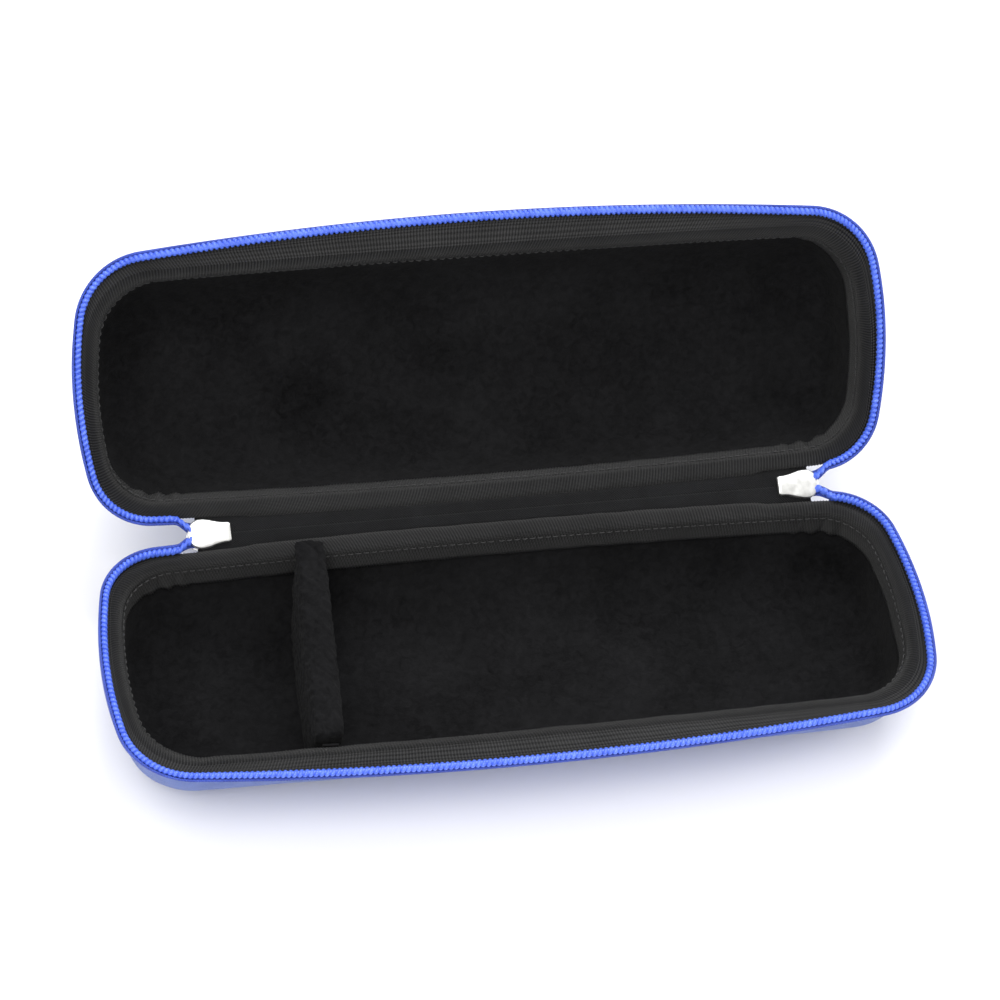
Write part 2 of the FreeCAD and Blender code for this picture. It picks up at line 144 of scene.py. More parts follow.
def shrink(line, end_inset, side_inset):
    """The same outline, moved inwards at its ends and its long sides."""
    height = line["front"] + line["rear"]
    small = height - 2.0 * side_inset
    half_length = line["half_length"] - end_inset
    long_ratio = (half_length / line["half_length"]) ** 2
    smaller = dict(line, half_length=half_length, end_bow=line["end_bow"] * (small / height) ** 2)
    for side in ("front", "rear"):
        smaller[side] -= side_inset
        smaller[side + "_bow"] *= long_ratio
        radius = line[side + "_radius"] - CORNER_SHRINK * side_inset
        smaller[side + "_radius"] = min(radius, CORNER_MOST * small)
    return smaller


def outline(line, density):
    """Points and outward normals round an outline, from the rear middle and back to it.

    density is points per millimetre along each arc; each outline of one density has the same
    number of points on matching arcs, so that rings of different lines join point to point.
    """
    front_reach = bow_radius(line["half_length"], line["front_bow"])
    rear_reach = bow_radius(line["half_length"], line["rear_bow"])
    front = np.array([0.0, -line["front"] + front_reach])
    rear = np.array([0.0, line["rear"] - rear_reach])
    end_reach = bow_radius((line["front"] + line["rear"]) / 2.0, line["end_bow"])
    end = np.array([line["half_length"] - end_reach, (line["rear"] - line["front"]) / 2.0])
    low = corner_centre(front, front_reach, end, end_reach, line["front_radius"])
    high = corner_centre(rear, rear_reach, end, end_reach, line["rear_radius"])

    def heading(centre, other):
        gap = centre - other
        return math.atan2(gap[1], gap[0])

    quarter = math.pi / 2.0
    arcs = [
        (rear, rear_reach, quarter, heading(high, rear), 108.0),
        (high, line["rear_radius"], heading(high, rear), heading(high, end), 30.0),
        (end, end_reach, heading(high, end), heading(low, end), 50.0),
        (low, line["front_radius"], heading(low, end), heading(low, front), 34.0),
        (front, front_reach, heading(low, front), -quarter, 106.0),
    ]
    rows = []
    for centre, radius, start, stop, length in arcs:
        count = max(4, round(length * density))
        for angle in np.linspace(start, stop, count, endpoint=False):
            normal = np.array([math.cos(angle), math.sin(angle)])
            rows.append([*(centre + radius * normal), *normal])
    rows.append([0.0, -line["front"], 0.0, -1.0])
    right = np.array(rows)
    table = np.vstack([right, right[-2:0:-1] * (-1.0, 1.0, -1.0, 1.0)])
    return table[:, :2], table[:, 2:]


def wall_inset(height, radius, skin):
    """How far a wall lies inside the rim line at one height, skin deep in the laminate."""
    if height >= RIM:
        return skin
    reach = radius - skin
    outer_tangent = radius - radius * math.sin(DRAFT)
    centre_inset = (RIM - outer_tangent) * math.tan(DRAFT) + radius * math.cos(DRAFT)
    if height >= radius - reach * math.sin(DRAFT):
        return (RIM - height) * math.tan(DRAFT) + skin / math.cos(DRAFT)
    drop = min(radius - height, reach)
    return centre_inset - math.sqrt(reach ** 2 - drop ** 2)


def trough_ring(height, skin, density):
    """Ring of points round a moulded half at one height, skin deep in the laminate."""
    line = shrink(SHELL_LINE, wall_inset(height, END_RADIUS, skin), wall_inset(height, SIDE_RADIUS, skin))
    points, _ = outline(line, density)
    return np.column_stack([points, np.full(len(points), height)])


class Rail:
    """Stations along the zip, clockwise from the rear middle, with the directions teeth need."""

    def __init__(self, density):
        zip_points, out = outline(ZIP_LINE, density)
        rim_points, _ = outline(SHELL_LINE, density)
        closed = np.vstack([zip_points, zip_points[:1]])
        steps = np.linalg.norm(np.diff(closed, axis=0), axis=1)
        self.along = np.concatenate([[0.0], np.cumsum(steps)])[:-1]
        self.length = steps.sum()
        flare = np.linalg.norm(zip_points - rim_points, axis=1)
        self.lean = FLARE_LEAN * smooth((flare - FLARE_START) / FLARE_SPAN)
        level = np.zeros(len(out))
        self.out, self.zip_points, self.rim = (
            np.column_stack([plan, level]) for plan in (out, zip_points, rim_points))

    def at(self, distance, values):
        """Values of one kind at distances along the zip."""
        along = np.append(self.along, self.length)
        rows = values.reshape(len(self.along), -1)
        table = np.vstack([rows, rows[:1]])
        columns = [np.interp(distance % self.length, along, column) for column in table.T]
        return np.column_stack(columns)

    def frames(self, distance):
        """Tooth centre, tip direction and outer-face direction at distances along the zip."""
        lean = self.at(distance, self.lean)
        out = unit(self.at(distance, self.out))
        tip = np.cos(lean) * UP + np.sin(lean) * out
        face = np.cos(lean) * out - np.sin(lean) * UP
        reach = COIL_TALL / 2.0 * np.sin(lean) + (COIL_THICK / 2.0 + ZIP_TAPE) * np.cos(lean)
        drop = COIL_TALL / 2.0 * np.cos(lean) + COIL_THICK / 2.0 * np.sin(lean)
        centre = self.at(distance, self.zip_points) - reach * out + (COIL_TOP - drop) * UP
        return centre, tip, face


def smooth(value):
    """Smooth step from 0 to 1."""
    clipped = np.clip(value, 0.0, 1.0)
    return clipped * clipped * (3.0 - 2.0 * clipped)


# ---- mesh making
def reflect(points):
    """Mirror image across the middle of the hinge strip."""
    offset = (points - STRIP_MIDDLE) @ STRIP_DIRECTION
    return points - 2.0 * offset[:, None] * STRIP_DIRECTION


def make_piece(name, points, faces, uvs=None, half="base", smooth_shading=True):
    """Mesh object from points in millimetres, faces and one UV per point."""
    points = np.asarray(points, float)
    if half == "lid":
        points = reflect(points)
        faces = [face[::-1] for face in faces]
    mesh = bpy.data.meshes.new(name)
    mesh.from_pydata((points / 1000.0).tolist(), [], [list(map(int, face)) for face in faces])
    if uvs is not None:
        layer = mesh.uv_layers.new(name="cloth")
        index = np.empty(len(mesh.loops), int)
        mesh.loops.foreach_get("vertex_index", index)
        layer.data.foreach_set("uv", np.asarray(uvs, float)[index].ravel())
    mesh.validate()
    shell = bmesh.new()
    shell.from_mesh(mesh)
    bmesh.ops.recalc_face_normals(shell, faces=shell.faces)
    shell.to_mesh(mesh)
    shell.free()
    mesh.polygons.foreach_set("use_smooth", [smooth_shading] * len(mesh.polygons))
    piece = bpy.data.objects.new(name, mesh)
    bpy.context.scene.collection.objects.link(piece)
    return piece


def grid_faces(rows, columns, wrap_rows, wrap_columns):
    """Quads of a grid of points, row by row."""
    faces = []
    for row in range(rows if wrap_rows else rows - 1):
        here = row * columns
        there = (row + 1) % rows * columns
        for column in range(columns if wrap_columns else columns - 1):
            beside = (column + 1) % columns
            faces.append((here + column, here + beside, there + beside, there + column))
    return faces


def capped_faces(rows, columns, turn=1):
    """Faces of a closed tube whose rings are the rows of a grid; turn -1 turns its caps over."""
    faces = grid_faces(rows, columns, False, True)
    faces.append(tuple(range(columns))[::-turn])
    faces.append(tuple(range((rows - 1) * columns, rows * columns))[::turn])
    return faces


def section_faces(rows, columns):
    """Faces of a closed tube whose rings are the columns of a grid."""
    faces = grid_faces(rows, columns, True, False)
    faces.append(tuple(row * columns for row in range(rows)))
    faces.append(tuple(row * columns + columns - 1 for row in range(rows))[::-1])
    return faces


def grid_uvs(grid, along=None):
    """UVs in millimetres: along the first row, unless its distances are given, and across the rows."""
    if along is None:
        along = running_length(grid[0])
    u, v = np.meshgrid(along, running_length(grid[:, 0]))
    return np.column_stack([u.ravel(), v.ravel()])


def surface_normals(grid, wrap_rows, wrap_columns):
    """Unit normals of a grid of points, pointing the way its faces do."""
    def slope(axis, wrap):
        if wrap:
            return np.roll(grid, -1, axis) - np.roll(grid, 1, axis)
        return np.gradient(grid, axis=axis)
    normals = np.cross(slope(1, wrap_columns), slope(0, wrap_rows))
    lengths = np.linalg.norm(normals, axis=2, keepdims=True)
    return normals / np.maximum(lengths, 1e-9)


def tube(path, radii, reference, sides):
    """Points and faces of a capped tube along a path; reference directions keep it from twisting."""
    tangent = unit(np.gradient(path, axis=0))
    side = unit(reference - np.sum(reference * tangent, axis=1, keepdims=True) * tangent)
    other = np.cross(tangent, side)
    rings = []
    for angle in np.linspace(0.0, 2.0 * math.pi, sides, endpoint=False):
        rings.append(path + radii[:, None] * (math.cos(angle) * side + math.sin(angle) * other))
    return np.stack(rings, axis=1).reshape(-1, 3), capped_faces(len(path), sides)


def join(parts):
    """One set of points and faces from several."""
    all_points = []
    all_faces = []
    offset = 0
    for points, faces in parts:
        all_points.append(points)
        all_faces += [tuple(index + offset for index in face) for face in faces]
        offset += len(points)
    return np.vstack(all_points), all_faces


def wobble(points, size, height, seed):
    """Smooth random heights over points, for cloth that isn't quite even."""
    heights = [noise.noise(Vector(point / size) + Vector((seed, 0.0, 0.0))) for point in points]
    return height * np.array(heights)


def box_uvs(piece):
    """UVs in millimetres on each face, seen along the axis that it faces most."""
    mesh = piece.data
    layer = mesh.uv_layers.new(name="cloth")
    for polygon in mesh.polygons:
        size = [abs(value) for value in polygon.normal]
        axis = size.index(max(size))
        first, second = [(1, 2), (0, 2), (0, 1)][axis]
        for loop in polygon.loop_indices:
            position = mesh.vertices[mesh.loops[loop].vertex_index].co
            layer.data[loop].uv = (position[first] * 1000.0, position[second] * 1000.0)


# ---- materials
class Material:
    """A node material, built with a few short calls."""

    def __init__(self, name, **values):
        self.material = bpy.data.materials.new(name)
        self.material.use_nodes = True
        self.tree = self.material.node_tree
        self.shader = self.tree.nodes["Principled BSDF"]
        for socket, value in values.items():
            self.shader.inputs[socket.replace("_", " ")].default_value = value

    def node(self, kind, **properties):
        made = self.tree.nodes.new(kind)
        for name, value in properties.items():
            setattr(made, name, value)
        return made

    def feed(self, socket, value):
        if hasattr(value, "is_output"):
            self.tree.links.new(value, socket)
        else:
            socket.default_value = value

    def math(self, operation, first, second=0.0):
        made = self.node("ShaderNodeMath", operation=operation)
        self.feed(made.inputs[0], first)
        self.feed(made.inputs[1], second)
        return made.outputs[0]

    def total(self, *weighted):
        """Sum of values, each given with its weight."""
        result = self.math("MULTIPLY", *weighted[0])
        for value, weight in weighted[1:]:
            result = self.math("ADD", result, self.math("MULTIPLY", value, weight))
        return result

    def cloth(self):
        """Millimetres along and across the cloth."""
        made = self.node("ShaderNodeUVMap", uv_map="cloth")
        split = self.node("ShaderNodeSeparateXYZ")
        self.feed(split.inputs[0], made.outputs[0])
        return split.outputs[0], split.outputs[1]

    def wave(self, distance, pitch):
        """Sine of the given pitch, from -1 to 1."""
        return self.math("SINE", self.math("MULTIPLY", distance, 2.0 * math.pi / pitch))

    def texture(self, kind, scale, place=None):
        """Texture node, in the object's own space unless a place is given."""
        made = self.node(kind)
        if place is None:
            place = self.node("ShaderNodeTexCoord").outputs["Object"]
        self.feed(made.inputs["Vector"], place)
        self.feed(made.inputs["Scale"], scale)
        return made

    def noise(self, size_mm, detail=3.0, distortion=0.0):
        """Noise with features of about the given size."""
        made = self.texture("ShaderNodeTexNoise", 1000.0 / size_mm)
        self.feed(made.inputs["Detail"], detail)
        self.feed(made.inputs["Distortion"], distortion)
        return made.outputs["Fac"]

    def colour(self, value, low, dark, high, light):
        """Base colour from dark, where the value is low, to light, where it is high."""
        made = self.node("ShaderNodeValToRGB")
        for element, place, shade in zip(made.color_ramp.elements, (low, high), (dark, light)):
            element.position = place
            element.color = (*shade, 1.0)
        self.feed(made.inputs[0], value)
        self.tree.links.new(made.outputs[0], self.shader.inputs["Base Color"])

    def rough(self, value, low, high):
        """Roughness from low to high as the value goes from 0 to 1."""
        made = self.node("ShaderNodeMapRange")
        for socket, given in (("Value", value), ("To Min", low), ("To Max", high)):
            self.feed(made.inputs[socket], given)
        self.tree.links.new(made.outputs[0], self.shader.inputs["Roughness"])

    def bump(self, height, distance_mm, strength=1.0, below=None):
        """Bump, added to the shader's normal; returns its normal for a further layer."""
        made = self.node("ShaderNodeBump")
        made.inputs["Distance"].default_value = distance_mm / 1000.0
        made.inputs["Strength"].default_value = strength
        self.feed(made.inputs["Height"], height)
        if below is not None:
            self.tree.links.new(below, made.inputs["Normal"])
        self.tree.links.new(made.outputs[0], self.shader.inputs["Normal"])
        return made.outputs[0]


def weave_material(name, dark, light, pitch, depth, **values):
    """Plain weave: threads over and under each other, with painted shade darkening the valleys between them.
    """
    made = Material(name, **values)
    along, across = made.cloth()
    threads = made.math("MULTIPLY", made.wave(along, pitch), made.wave(across, pitch))
    patches = made.noise(9.0)
    slubs = made.noise(1.2, 2.0)
    # painted shade: the threads term darkens the colour in the weave's valleys; patches and slubs are random
    # tone
    shade = made.total((threads, 0.22), (patches, 0.9), (slubs, 0.25))
    made.colour(shade, 0.25, dark, 0.95, light)
    made.rough(slubs, 0.45, 0.68)
    first = made.bump(threads, depth)
    made.bump(patches, 0.5, 0.35, first)
    return made.material


def ribbed_material(name, dark, light, **values):
    """Binding tape: ribs with painted highlight on their crests and painted shade in their valleys, random
    wear, and fine threads across them.
    """
    made = Material(name, **values)
    along, across = made.cloth()
    slanted = made.math("ADD", along, made.math("MULTIPLY", across, RIB_SLANT))
    ribs = made.wave(made.math("ADD", slanted, RIB_PITCH / 4.0), RIB_PITCH)
    threads = made.wave(across, 0.42)
    wear = made.noise(14.0, 4.0)
    fluff = made.noise(0.7, 2.0, 0.6)
    # painted highlight on the rib crests and painted shade in their valleys come from the ribs term; wear
    # and fluff are random tone
    shade = made.total((wear, 0.55), (fluff, 0.35), (ribs, 0.42))
    made.colour(shade, 0.25, dark, 0.95, light)
    made.rough(fluff, 0.42, 0.72)
    first = made.bump(threads, 0.07)
    made.bump(fluff, 0.12, 0.5, first)
    return made.material


def plush_material(name, dark, light, **values):
    """Short brushed pile, lying this way and that."""
    made = Material(name, **values)
    pile = made.noise(0.45, 2.0, 1.2)
    tufts = made.noise(2.4, 4.0, 0.8)
    brushed = made.noise(26.0, 2.0)
    shade = made.total((tufts, 0.6), (brushed, 0.5), (pile, 0.3))
    made.colour(shade, 0.35, dark, 1.0, light)
    first = made.bump(pile, 0.25, 0.9)
    made.bump(tufts, 0.45, 0.6, first)
    return made.material


def nylon_material(name, dark, light, **values):
    """Moulded nylon of the teeth, cloudy and glossy."""
    made = Material(name, **values)
    cloud = made.noise(3.0)
    scratches = made.noise(0.4, 2.0)
    made.colour(cloud, 0.3, dark, 0.75, light)
    made.rough(scratches, 0.22, 0.42)
    made.bump(scratches, 0.03, 0.5)
    return made.material


def metal_material(name, dark, light, roughness, **values):
    """Plated metal with a brushed grain, a few stains and polished high spots."""
    made = Material(name, Metallic=1.0, **values)
    place = made.node("ShaderNodeTexCoord")
    stretch = made.node("ShaderNodeMapping")
    stretch.inputs["Scale"].default_value = (1.0, 9.0, 9.0)
    made.feed(stretch.inputs["Vector"], place.outputs["Object"])
    grain = made.texture("ShaderNodeTexNoise", 900.0, stretch.outputs[0]).outputs["Fac"]
    stains = made.noise(2.5, 4.0)
    made.colour(stains, 0.3, dark, 0.65, light)
    mixed = made.total((grain, 0.5), (stains, 0.5))
    made.rough(mixed, roughness - 0.1, roughness + 0.14)
    made.bump(grain, 0.02, 0.6)
    return made.material


def foam_material(name, dark, light):
    """Closed-cell foam."""
    made = Material(name, Roughness=0.85)
    cells = made.texture("ShaderNodeTexVoronoi", 2200.0).outputs["Distance"]
    made.colour(cells, 0.1, dark, 0.7, light)
    made.bump(cells, 0.12)
    return made.material


SHELL_CLOTH = weave_material(
    "blue_nylon", (0.055, 0.105, 0.36), (0.135, 0.21, 0.58), 0.62, 0.10,
    Sheen_Weight=0.25, Sheen_Roughness=0.4, Specular_IOR_Level=0.4)
ZIP_CLOTH = weave_material(
    "blue_zip_tape", (0.022, 0.045, 0.32), (0.06, 0.12, 0.62), 0.9, 0.16,
    Sheen_Weight=0.15, Sheen_Roughness=0.35)
HINGE_CLOTH = weave_material(
    "black_hinge_cloth", (0.0012, 0.0012, 0.0016), (0.0065, 0.0068, 0.008), 0.8, 0.14,
    Roughness=0.9, Sheen_Weight=0.04, Sheen_Roughness=0.4, Specular_IOR_Level=0.2)
RIBBED = ribbed_material(
    "black_ribbed_tape", (0.0012, 0.0012, 0.0014), (0.024, 0.024, 0.0245),
    Sheen_Weight=0.07, Sheen_Roughness=0.25, Specular_IOR_Level=0.3)
PLUSH = plush_material(
    "black_plush", (0.0006, 0.0006, 0.0007), (0.0125, 0.0125, 0.0135),
    Roughness=1.0, Sheen_Weight=0.02, Sheen_Roughness=0.5, Specular_IOR_Level=0.08)
COIL = nylon_material(
    "blue_zip_coil", (0.055, 0.12, 0.66), (0.12, 0.22, 0.92), Specular_IOR_Level=0.5, Coat_Weight=0.15)
NICKEL = metal_material("slider_nickel", (0.62, 0.62, 0.60), (0.80, 0.80, 0.78), 0.38)
BLUE_THREAD = weave_material(
    "blue_thread", (0.08, 0.14, 0.60), (0.20, 0.30, 0.90), 0.3, 0.05, Sheen_Weight=0.2)
GREY_THREAD = weave_material(
    "grey_thread", (0.006, 0.006, 0.0065), (0.034, 0.034, 0.035), 0.3, 0.05, Sheen_Weight=0.2)
FOAM_LOOK = foam_material("foam_core", (0.012, 0.012, 0.013), (0.05, 0.05, 0.052))
FLOOR_LOOK = Material("floor", Roughness=0.9, Base_Color=(0.93, 0.93, 0.93, 1.0)).material


def finish_piece(piece, material, body=None, stands_for=()):
    """Material, body and replaced nodes of a piece."""
    piece.data.materials.clear()
    piece.data.materials.append(material)
    if body is not None:
        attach(piece, body)
    if stands_for:
        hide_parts(*stands_for)
    return piece


def dress(node, material):
    """Give a CAD node that stays a better material."""
    for entry in frame["nodes"][node].material_slots:
        entry.material = material


# ---- moulded halves
def turned_heights(skin):
    """Heights from the rim down to the floor, close together where the wall curves."""
    heights = list(np.linspace(RIM, SIDE_RADIUS - (SIDE_RADIUS - skin) * math.sin(DRAFT), 5))
    for angle in np.linspace(DRAFT, math.pi / 2.0, 17)[1:]:
        heights.append(SIDE_RADIUS - (SIDE_RADIUS - skin) * math.sin(angle))
    return heights


def trough_sheet(skin, density):
    """Rings of one face of a moulded half, from its rim to near the middle of its floor."""
    rings = [trough_ring(height, skin, density) for height in turned_heights(skin)]
    lowest = rings[-1]
    middle = lowest.mean(axis=0)
    for scale in (0.85, 0.68, 0.5, 0.32, 0.15):
        rings.append(middle + (lowest - middle) * scale)
    return np.array(rings)


BUMP_SIZE = 17.0             # of the gentle bumps in the moulded cloth


def laminate(name, outer_skin, inner_skin, density, bumps, half):
    """Closed piece between two faces of a moulded half, a little uneven where it shows."""
    outer = trough_sheet(outer_skin, density)
    inner = trough_sheet(inner_skin, density)
    for sheet, height in zip((outer, inner), bumps):
        normals = surface_normals(sheet, False, True)
        fade = smooth(np.linspace(0.0, 3.0, len(sheet)))[:, None, None]
        shape = wobble(sheet.reshape(-1, 3), BUMP_SIZE, height, outer_skin).reshape(len(sheet), -1, 1)
        sheet -= fade * shape * normals
        sheet[:, :, 2] = np.maximum(sheet[:, :, 2], outer_skin)
    grid = np.vstack([outer[::-1], inner])
    piece = make_piece(name, grid.reshape(-1, 3), capped_faces(*grid.shape[:2]), None, half)
    box_uvs(piece)
    return piece


RAIL = Rail(4.0)
PLAIN_DENSITY = 0.5
RIB_DENSITY = 4.0
REAR_BULGE = 1.5             # how far the binding stands out towards the hinge strip
REAR_FADE = 5.0              # length over which the zip side turns into the hinge side
ROLL_DROP = 1.3              # middle of the binding's roll, below the crest
ROLL_RISE = 1.5              # its height over that
ROLL_LAST = 70.0             # degrees at which the roll runs on towards the zip
BINDING_THICK = 0.42
BINDING_LIFT = 0.6           # clearance between the binding and the zip tape
TAPE_FOOT = 0.6              # below the rim, where the zip tape leaves the wall
TOOTH_CLEAR = 0.1            # between the tape's bend and the teeth
PUCKER_PITCH = 6.3
PUCKER_HEIGHT = 0.55
CREASE_AT = 6.3              # across the binding, where it is stitched
CREASE_WIDTH = 0.9
CREASE_DEPTH = 0.3
RIB_HEIGHT = 0.15


def rear_share(points, beyond):
    """1 at the back as far as a distance beyond the sliders' middles, falling to 0 outside."""
    left = SLIDERS["left"][0] - beyond
    right = SLIDERS["right"][0] + beyond
    inside = np.minimum(points[:, 0] - left, right - points[:, 0])
    return smooth(inside / REAR_FADE + 0.5) * (points[:, 1] > 0.0)


def curve_between(start, start_way, stop, stop_way, share):
    """Point on a smooth curve from start to stop that leaves and arrives in given directions."""
    reach = 0.2 * np.linalg.norm(stop - start, axis=1, keepdims=True)
    first = start + reach * start_way
    second = stop - reach * stop_way
    keep = 1.0 - share
    return (keep ** 3 * start + 3.0 * keep ** 2 * share * first
            + 3.0 * keep * share ** 2 * second + share ** 3 * stop)


def binding_grid(density):
    """Closed rows of the tape that wraps the rim and faces the inside of the zip tape."""
    rail = Rail(density)
    centre, tip, face = rail.frames(rail.along)
    hidden = rear_share(rail.zip_points, 0.85 * SLIDER_LENGTH)[:, None]
    between = rear_share(rail.zip_points, -0.85 * SLIDER_LENGTH)[:, None]
    inner = WALL + TAPE
    foot = SIDE_RADIUS - (SIDE_RADIUS - WALL) * math.sin(DRAFT)

    def roll(degrees, bulge):
        """Ring on the padded roll over the rim, turned from the inside (180) to the outside (0)."""
        angle = math.radians(degrees)
        ring = trough_ring(RIM, (WALL + FABRIC - (inner - FABRIC) * math.cos(angle)) / 2.0, density)
        ring[:, 2] = CREST - ROLL_DROP + ROLL_RISE * math.sin(angle)
        return ring + rail.out * (hidden + between) / 2.0 * REAR_BULGE * bulge

    wall = []
    for height in np.linspace(foot, CREST - ROLL_DROP, 7):
        wall.append(trough_ring(height, inner, density))
    crown = [roll(150.0 - (150.0 - ROLL_LAST) * share, share) for share in np.linspace(0.0, 1.0, 7)]
    start = rail.rim + rail.out * ZIP_TAPE + (RIM - TAPE_FOOT) * UP
    root = centre + face * (COIL_THICK / 2.0 + ZIP_TAPE) - tip * (COIL_TALL / 2.0 + TOOTH_CLEAR)
    spread = 0.2 + 0.6 * rail.lean[:, None] / FLARE_LEAN
    facing = []
    under = []
    for step in range(8):
        share = (step + 1) / 8.0
        place = 1.0 - (1.0 - share) * spread
        normal = unit(rail.out * (1.0 - place) + face * place)
        taut = curve_between(start, np.broadcast_to(UP, root.shape), root, tip, place)
        near = smooth(share / 0.6)
        row = crown[-1] * (1.0 - near) + (taut - normal * (ZIP_TAPE + BINDING_LIFT)) * near
        low = roll(ROLL_LAST - 14.0 * (step + 1), 1.0)
        facing.append(row * (1.0 - hidden) + low * hidden)
        way = normal * share - UP * (1.0 - share)
        under.append((row + way * BINDING_THICK) * (1.0 - hidden) + (low - rail.out * 0.5) * hidden)
    top = wall + crown + facing
    inner_wall = [trough_ring(height, WALL + 0.15, density) for height in np.linspace(RIM - 1.0, foot, 3)]
    return np.array(top + under[::-1] + inner_wall), len(top), rail


def binding(half):
    """Ribbed tape over the rim, puckered where it goes round the corners."""
    grid, shown, rail = binding_grid(RIB_DENSITY)
    rows, columns = grid.shape[:2]
    normals = surface_normals(grid, True, True)
    across = running_length(grid[:, 0])
    uvs = grid_uvs(grid, rail.along)
    ribs = np.cos(2.0 * math.pi * (rail.along[None, :] + RIB_SLANT * across[:, None]) / RIB_PITCH)
    heights = RIB_HEIGHT * ribs
    from_middle = np.abs(rail.zip_points[:, 0])
    corner = smooth((from_middle - 96.0) / 12.0) * smooth((122.0 - from_middle) / 8.0)
    rear = 0.4 + 0.6 * (rail.zip_points[:, 1] > 0.0)
    gathers = np.sin(2.0 * math.pi * rail.along / PUCKER_PITCH + 0.8 * np.sin(rail.along / 5.1))
    pucker = PUCKER_HEIGHT * corner * rear * gathers
    skirt = smooth((9.0 - across) / 7.0)[:, None]
    heights = heights + skirt * pucker[None, :]
    crease = np.exp(-((across - CREASE_AT) / CREASE_WIDTH) ** 2)[:, None]
    heights = heights - CREASE_DEPTH * crease
    heights = heights + wobble(grid.reshape(-1, 3), 9.0, 0.28, 3.0).reshape(rows, columns)
    heights[shown:] = 0.0
    grid = grid + normals * heights[:, :, None]
    faces = grid_faces(rows, columns, True, True)
    return make_piece(half + "_binding_tape", grid.reshape(-1, 3), faces, uvs, half)


def tape_rows(distance, centre, tip, face, rim_out):
    """Rows of the zip's woven tape: its outside from the sewn foot to the teeth, and back inside."""
    rim = RAIL.at(distance, RAIL.rim)
    slope = math.tan(DRAFT)
    rows = []
    for depth, skin in ((SEWN_BAND, 0.75), (SEWN_BAND * 0.6, 0.8), (SEWN_BAND * 0.3, 0.8), (1.0, 0.75)):
        rows.append(rim + rim_out * (skin - slope * depth) + (RIM - depth) * UP)
    start = rim + rim_out * ZIP_TAPE + (RIM - TAPE_FOOT) * UP
    behind = centre + face * (COIL_THICK / 2.0 + ZIP_TAPE)
    root = behind - tip * (COIL_TALL / 2.0 + TOOTH_CLEAR)
    back = [row - rim_out * ZIP_TAPE for row in rows]
    for share in np.linspace(0.0, 1.0, 7):
        normal = unit(rim_out * (1.0 - share) + face * share)
        rows.append(curve_between(start, np.broadcast_to(UP, root.shape), root, tip, share))
        back.append(rows[-1] - normal * ZIP_TAPE)
    rows.append(behind + tip * (COIL_TALL / 2.0 - 0.55))
    back.append(rows[-1] - face * ZIP_TAPE)
    return np.array(rows + back[::-1])


TAIL_SHIFT = 2.6             # outwards, to run between a slider's plates
TAIL_START = 4.0             # beyond a slider's nose, where a tail leaves its half
TAIL_END = 3.6               # inside the nose, where it has turned with the hinge strip
WIRE = 0.62                  # radius of the coil's wire
HEAD_BULGE = 0.10            # of a tooth's head
CORD = 0.85                  # radius of the cord inside the coil


def tail_turn(points, side):
    """Turn points of a zip tail about the base's fold, more and more towards its slider."""
    start, stop = tail_span(side)
    share = smooth((points[:, 0] - start) / (stop - start))
    angle = -np.radians(HALF_ANGLE) * share
    offset = points - FOLD_BASE
    offset[:, 1] += TAIL_SHIFT * share
    turned = points.copy()
    turned[:, 1] = FOLD_BASE[1] + offset[:, 1] * np.cos(angle) - offset[:, 2] * np.sin(angle)
    turned[:, 2] = FOLD_BASE[2] + offset[:, 1] * np.sin(angle) + offset[:, 2] * np.cos(angle)
    return turned


def tail_span(side):
    """Where a tail leaves the half, and where it has turned with the hinge strip."""
    x, outward = SLIDERS[side]
    nose = SLIDER_LENGTH / 2.0
    return x + outward * (nose + TAIL_START), x + outward * (nose - TAIL_END)


def rail_place(x):
    """Distance along the zip at which it passes x behind the case."""
    rear = RAIL.zip_points[:, 1] > 30.0
    candidates = np.where(rear)[0]
    nearest = candidates[np.argmin(np.abs(RAIL.zip_points[candidates, 0] - x))]
    return RAIL.along[nearest]


def tape_piece(name, start, stop, half, side=None):
    """Length of the zip's woven tape between two distances along it."""
    distance = np.append(np.arange(start, stop, 0.8), stop)
    grid = tape_rows(distance, *RAIL.frames(distance), RAIL.at(distance, RAIL.out))
    if side is not None:
        grid = grid[7:-7]
    flat = grid.reshape(-1, 3)
    if side is not None:
        flat = tail_turn(flat, side)
    return make_piece(name, flat, section_faces(*grid.shape[:2]), grid_uvs(grid, distance), half)


def coil_piece(name, start, stop, half, side=None):
    """The coil of teeth, round its cord, between two distances along the zip."""
    per_turn = 12
    turns = (stop - start) / TOOTH_PITCH
    phase = np.linspace(0.0, turns, int(turns * per_turn))
    distance = start + phase * TOOTH_PITCH
    centre, tip, face = RAIL.frames(distance)
    angle = 2.0 * math.pi * phase
    path = centre + tip * ((COIL_TALL / 2.0 - WIRE) * np.cos(angle))[:, None]
    path = path + face * ((COIL_THICK / 2.0 - WIRE) * np.sin(angle))[:, None]
    head = np.maximum(np.cos(angle), 0.0) ** 4
    radii = WIRE * (1.0 + HEAD_BULGE * head)
    loops = tube(path, radii, np.cross(tip, face), 8)
    distance = np.linspace(start, stop, int((stop - start) / 0.8))
    centre, tip, face = RAIL.frames(distance)
    cord = tube(centre, np.full(len(centre), CORD), face, 10)
    points, faces = join([loops, cord])
    if side is not None:
        points = tail_turn(points, side)
    return make_piece(name, points, faces, None, half)


def stitch_row(name, path, lift, pitch, length, radius, half):
    """Row of sewn stitches along a path, each a short thread that dips at both ends."""
    along = running_length(path)
    parts = []
    for start in np.arange(0.6, along[-1] - length, pitch):
        places = np.linspace(start, start + length, 6)
        line = np.column_stack([np.interp(places, along, path[:, axis]) for axis in range(3)])
        up = np.column_stack([np.interp(places, along, lift[:, axis]) for axis in range(3)])
        arch = np.sin(np.linspace(0.0, math.pi, 6))
        line = line + up * (arch * radius * 1.3)[:, None]
        thickness = radius * (0.55 + 0.45 * arch)
        parts.append(tube(line, thickness, up, 6))
    points, faces = join(parts)
    return make_piece(name, points, faces, points[:, :2], half)


